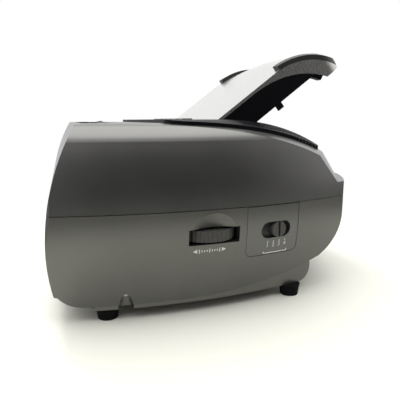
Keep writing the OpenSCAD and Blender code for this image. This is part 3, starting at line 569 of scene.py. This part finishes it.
def makeIcons():
    for name in sorted(signs):
        marks = [signKinds[kind](*(size * mm for size in sizes)) for kind, *sizes in signs[name]]
        printMarks(name + "_sign", stationOn(name, (0, 0, 1), (0, 1, 0)), marks, name, "black_plastic",
                   "black_ink")


makeIcons()

# the display's digits: seven strokes each, of which the lit ones are printed

digits = {"high": 7.5 * mm, "wide": 4.2 * mm, "stroke": 0.8 * mm, "gaps": 1.2,
          "shown": (("0", -20), ("2", -13.5), ("1", 1), ("3", 11), ("5", 17.5)),
          "colon": {"x": 6 * mm, "apart": 3.2 * mm, "dot": 0.9 * mm},
          "lit": {"0": "abcdef", "1": "bc", "2": "abged", "3": "abgcd", "5": "afgcd"}}


def digitBars(text, x):
    high, wide, stroke = digits["high"], digits["wide"], digits["stroke"]
    places = {"a": (0, high / 2, True), "g": (0, 0, True), "d": (0, -high / 2, True),
              "f": (-wide / 2, high / 4, False), "b": (wide / 2, high / 4, False),
              "e": (-wide / 2, -high / 4, False), "c": (wide / 2, -high / 4, False)}
    bars = []
    for segment in digits["lit"][text]:
        across, along, flat = places[segment]
        long = (wide if flat else high / 2) - stroke * digits["gaps"]
        bars.append(bar(x + across, along, long if flat else stroke, stroke if flat else long))
    return bars


def makeDigits():
    marks = []
    for text, across in digits["shown"]:
        marks += digitBars(text, across * mm)
    colon = digits["colon"]
    marks += [bar(colon["x"], along, colon["dot"], colon["dot"]) for along in spread(2, colon["apart"])]
    printMarks("display_digits", stationOn("display_module", (0, 0, 1), (0, 1, 0)), marks, "housing",
               "black_plastic", "black_ink")


makeDigits()

# ribs at the panel's front corners, set by two image points and mirrored

panelRibs = {"count": 6, "wide": 1.1 * mm, "high": 2.2 * mm, "proud": 0.4 * mm, "sunk": 0.6 * mm,
             "bevel": 0.25 * mm}


def makePanelRibs():
    look = panelRibs
    panel = treeOf("top_panel")
    first, last = Vector(imagePoints["panel ribs rear"]), Vector(imagePoints["panel ribs front"])
    grid = bmesh.new()
    for index in range(look["count"]):
        place, out = placeByPoint(first.lerp(last, index / (look["count"] - 1)), panel)
        out.z = 0
        for side in (1, -1):
            station = Station((place.x * side, place.y, place.z), (out.x * side, out.y, 0), (0, 0, 1))
            block(grid, station, 0, 0, look["wide"], look["high"], -look["sunk"], look["proud"],
                  look["bevel"])
    addPiece("panel_ribs", grid, "housing", "black_plastic", "rim_grey")


makePanelRibs()

# turned rings round the jacks and the pickup's lens; each profile has (radius, height) pairs in millimetres

rings = {
    "jack": [(2.1, -0.4), (2.1, 0.5), (2.4, 0.8), (3.9, 0.8), (4.2, 0.5), (4.2, -0.4)],
    "lens": [(2.1, -0.2), (2.1, 0.5), (3.1, 0.5), (3.3, 0.3), (3.3, -0.2)],
}
lensRing = {"above": 20 * mm, "sunk": 0.3 * mm}


def makeRing(name, stations, shape, body, slot, finish=None):
    grid = bmesh.new()
    for station in stations:
        turned(grid, station, [(radius * mm, height * mm) for radius, height in rings[shape]])
    addPiece(name, grid, body, slot, finish)


def makeRings():
    outer = []
    for mount in frame["record"]["mounts"]:
        axis = Vector(mount["axis"])
        if mount["kind"] == "bore":
            mouth = Vector(mount["pos_m"]) + axis * mount["dims"]["length_mm"] / 2 * mm
            outer.append(Station(mouth, axis, (0, 0, 1)))
        if mount["name"] == "disc_hub":
            bayUp = axis
    makeRing("jack_rings", outer, "jack", "housing", "steel")
    low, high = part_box("pickup_lens")
    above = (Vector(low) + Vector(high)) / 2 + bayUp * lensRing["above"]
    top = treeOf("pickup_lens").ray_cast(above, -bayUp)[0]
    makeRing("lens_ring", [Station(top - bayUp * lensRing["sunk"], bayUp, (0, 1, 0))], "lens", "sled",
             "grey_plastic", "black_ink")


makeRings()

# ribs for the fingers along the handle's bar

handleRibs = {"count": 27, "pitch": 2.6 * mm, "wide": 1.2 * mm, "inset": 2.2 * mm, "proud": 0.35 * mm,
              "bevel": 0.2 * mm, "bar": 13 * mm}


def makeHandleRibs():
    look = handleRibs
    low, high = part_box("carry_handle")
    station = Station(((low[0] + high[0]) / 2, high[1] - look["bar"] / 2, high[2]), (0, 0, 1), (0, 1, 0))
    grid = bmesh.new()
    for across in spread(look["count"], look["pitch"]):
        block(grid, station, across, 0, look["wide"], look["bar"] - 2 * look["inset"],
              -look["proud"], look["proud"], look["bevel"])
    addPiece("handle_ribs", grid, "handle", "black_plastic")


makeHandleRibs()

# minus and plus at the ends of the battery bay's back

poles = {"size": 6 * mm, "stroke": 1.2 * mm, "in": 12 * mm, "behind": 50 * mm}


def makePoles():
    size, stroke = poles["size"], poles["stroke"]
    low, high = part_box("battery_bay")
    behind = Vector((0, high[1] + poles["behind"], (low[2] + high[2]) / 2))
    back = treeOf("battery_bay").ray_cast(behind, Vector((0, -1, 0)))[0]
    half = (high[0] - low[0]) / 2 - poles["in"]
    marks = [bar(-half, 0, size, stroke), bar(half, 0, size, stroke)]
    marks += [bar(half, along, stroke, (size - stroke) / 2) for along in spread(2, (size + stroke) / 2)]
    printMarks("battery_poles", Station(back, (0, 1, 0), (0, 0, 1)), marks, "housing", "white_plastic",
               "white_ink")


makePoles()

# the base tray's rear end lies further forward than in CAD, because the photograph shows none of it there

trayLook = {"beyondFoot": 2 * mm, "sharp": 25}


def makeTrayCover():
    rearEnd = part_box("rubber_feet")[1][1] + trayLook["beyondFoot"]
    grid = bmesh.new()
    grid.from_mesh(nodes["base_tray"].data)
    bmesh.ops.remove_doubles(grid, verts=grid.verts, dist=weld)
    cut = bmesh.ops.bisect_plane(grid, geom=grid.verts[:] + grid.edges[:] + grid.faces[:], dist=weld,
                                 plane_co=(0, rearEnd, 0), plane_no=(0, 1, 0), clear_outer=True)
    edges = [item for item in cut["geom_cut"] if isinstance(item, bmesh.types.BMEdge)]
    bmesh.ops.contextual_create(grid, geom=edges)
    piece = addPiece("base_tray_cover", grid, "housing", "black_plastic", "body_grey")
    piece.data.shade_smooth()
    piece.data.set_sharp_from_angle(angle=math.radians(trayLook["sharp"]))
    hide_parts("base_tray")


makeTrayCover()
print("pieces added")

# floor: a sheet under the object, pale to the camera but darker to reflections and bounce light as painted
# shade for its shadow, which gives way to a dark table that only reflections see, painted shade standing in
# for the unlit room

# sheet is the sheet's colour with painted shade, seen by reflections and bounce light; sheetSeen is what the
# camera sees; table is painted shade that only reflections see
stagePieces = {"sheetPaintedShade": (0.5, 0.503, 0.455, 1.0), "sheetSeen": (0.8, 0.803, 0.75, 1.0),
               "tablePaintedShade": (0.05, 0.05, 0.05, 1.0), "size": 8.0, "sheetEnd": (0.32, 0.48),
               "whiteFrom": (0.2, 0.34), "farSide": (-0.1, 0.25), "cloud": 0.4, "rough": 0.6,
               "cloudRough": 0.1}
white = (1, 1, 1, 1)


def whiteSeen(tree, farMask):
    # camera rays see the white backdrop, and so do reflections that look away from the photographer
    seen, glossy, through = (tree.node("ShaderNodeLightPath", out=kind)
                             for kind in ("Is Camera Ray", "Is Glossy Ray", "Is Transmission Ray"))
    return seen.most(glossy.most(through) * farMask)


def stageMaterial():
    look = stagePieces
    finish = Finish("stage")
    spot = finish.spot()
    reach = finish.node("ShaderNodeVectorMath", {"operation": "LENGTH"}, {0: spot}, "Value")
    seen = finish.node("ShaderNodeLightPath", out="Is Camera Ray")
    # reflections and bounce light see the sheet darker than the camera does, as painted shade for its shadow,
    # and beyond it the dark table, painted shade standing in for the unlit room
    sheetPaintedShade = finish.mix(seen, look["sheetPaintedShade"], look["sheetSeen"])
    finish.set(Base_Color=finish.mix(finish.ramp(reach, *look["sheetEnd"]), sheetPaintedShade, look["tablePaintedShade"]),
               Roughness=look["rough"] + finish.noise(look["cloud"], 2.0) * look["cloudRough"])
    farMask = finish.ramp(finish.axis("X", spot), *look["farSide"])
    glow = finish.node("ShaderNodeEmission", None, {"Color": white, "Strength": 1.0})
    both = finish.node("ShaderNodeMixShader", None, {
        0: whiteSeen(finish, farMask) * finish.ramp(reach, *look["whiteFrom"]),
        1: Socket(finish, finish.shader.outputs[0]), 2: glow})
    finish.feed(finish.tree.nodes["Material Output"].inputs["Surface"], both)
    return finish.material


def makeFloor():
    mesh = bpy.data.meshes.new("floor")
    half = stagePieces["size"] / 2
    corners = [(-half, -half, 0), (half, -half, 0), (half, half, 0), (-half, half, 0)]
    mesh.from_pydata(corners, [], [(0, 1, 2, 3)])
    mesh.materials.append(stageMaterial())
    floor = bpy.data.objects.new("floor", mesh)
    bpy.context.scene.collection.objects.link(floor)


makeFloor()

# one soft lamp beyond the object, and a world that is dark behind the photographer and bright elsewhere

lamp = {"place": (0.8, 0.2, 0.95), "aim": (0, 0.0, 0.05), "size": 0.5, "watts": 11}
studio = {"photographer": (-1.0, -0.15, 0.0), "around": (0.3, 0.95), "farSide": (-0.2, 0.15),
          "dark": 0.012, "open": 1.0, "above": (0.56, 0.9), "top": 2.6, "tint": (1.0, 0.985, 0.955, 1.0)}


def makeLamp():
    data = bpy.data.lights.new("lamp", "AREA")
    data.shape = "SQUARE"
    data.size = lamp["size"]
    data.energy = lamp["watts"]
    lit = bpy.data.objects.new("lamp", data)
    lit.location = lamp["place"]
    lit.visible_glossy = False
    lit.rotation_mode = "QUATERNION"
    lit.rotation_quaternion = (Vector(lamp["aim"]) - Vector(lamp["place"])).to_track_quat("-Z", "Y")
    bpy.context.scene.collection.objects.link(lit)


def makeWorld():
    world = bpy.data.worlds.new("studio")
    bpy.context.scene.world = world
    world.use_nodes = True
    sky = NodeTree(world.node_tree)
    sky.tree.nodes.clear()
    way = sky.node("ShaderNodeTexCoord", out="Generated")
    facing = sky.node("ShaderNodeVectorMath", {"operation": "DOT_PRODUCT"},
                      {0: way, 1: Vector(studio["photographer"]).normalized()}, "Value")
    level = sky.ramp(facing, *studio["around"], studio["open"], studio["dark"])
    above = sky.ramp(sky.axis("Z", way), *studio["above"])
    lit = sky.node("ShaderNodeBackground", None, {
        "Color": studio["tint"], "Strength": level * (1 - above) + above * studio["top"]})
    backdrop = sky.node("ShaderNodeBackground", None, {"Color": white, "Strength": 1.0})
    farMask = sky.ramp(facing, *studio["farSide"], 1.0, 0.0) * (1 - above)
    both = sky.node("ShaderNodeMixShader", None, {0: whiteSeen(sky, farMask), 1: lit, 2: backdrop})
    sky.node("ShaderNodeOutputWorld", None, {"Surface": both})
    sky.node("ShaderNodeOutputWorld", None, {"Surface": both})


makeLamp()
makeWorld()
bpy.context.scene.view_settings.view_transform = "Standard"
print("stage, lamp and world made")

# how far each thing shows from its image point

featureNodes = {"tuning wheel": "tuning_wheel", "function knob": "function_knob",
                "arrow left": "tuning_arrow_left", "arrow right": "tuning_arrow_right",
                "tuning scale": "tuning_scale", "switch numbers": "switch_numbers",
                "switch bracket": "switch_bracket"}
seenWithin, seamBand = 0.4 * mm, 1 * mm


def shownPieces():
    return [item for item in bpy.data.objects
            if item.type == "MESH" and item.name != "floor" and not item.hide_render]


def isShown(spot, everything):
    reach = spot - eye.location
    hit = everything.ray_cast(eye.location, reach.normalized())
    return hit[0] is None or hit[3] > reach.length - seenWithin


def middleShown(name, everything):
    # the middle of the vertices that no other surface hides
    seen = [imagePlace(vertex.co) for vertex in bpy.data.objects[name].data.vertices
            if isShown(vertex.co, everything)]
    if not seen:
        return None
    return [(min(axis) + max(axis)) / 2 for axis in zip(*seen)]


def measurePoints():
    pieces = shownPieces()
    everything = treeOf(*[piece.name for piece in pieces])
    places = [imagePlace(vertex.co) for piece in pieces for vertex in piece.data.vertices]
    found = {name: middleShown(node, everything) for name, node in featureNodes.items()}
    left, right = min(places), max(places)
    top, bottom = (pick(places, key=lambda place: place[1]) for pick in (min, max))
    front = [imagePlace(vertex.co) for vertex in nodes["rubber_feet"].data.vertices if vertex.co.y < 0]
    lidTip = max(imagePlace(vertex.co) for vertex in nodes["lid_grip"].data.vertices)
    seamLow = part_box("lower_housing")[1][2] - seamBand
    seam = [imagePlace(vertex.co) for vertex in nodes["lower_housing"].data.vertices
            if vertex.co.z > seamLow and vertex.co.x < 0 and isShown(vertex.co, everything)]
    found.update({"left edge": (left[0], None), "right edge": (right[0], None), "lid top": (None, top[1]),
                  "rear foot bottom": (None, bottom[1]), "lid tip": lidTip,
                  "front foot bottom": (None, max(place[1] for place in front))})
    for name in ("parting line rear", "parting line front"):
        x = imagePoints[name][0]
        found[name] = (None, min(seam, key=lambda place: abs(place[0] - x))[1])
    return {name: place and [None if here is None else round(here - there, 2)
                             for here, there in zip(place, imagePoints[name])]
            for name, place in found.items()}


measurePoints()
print("image points measured")
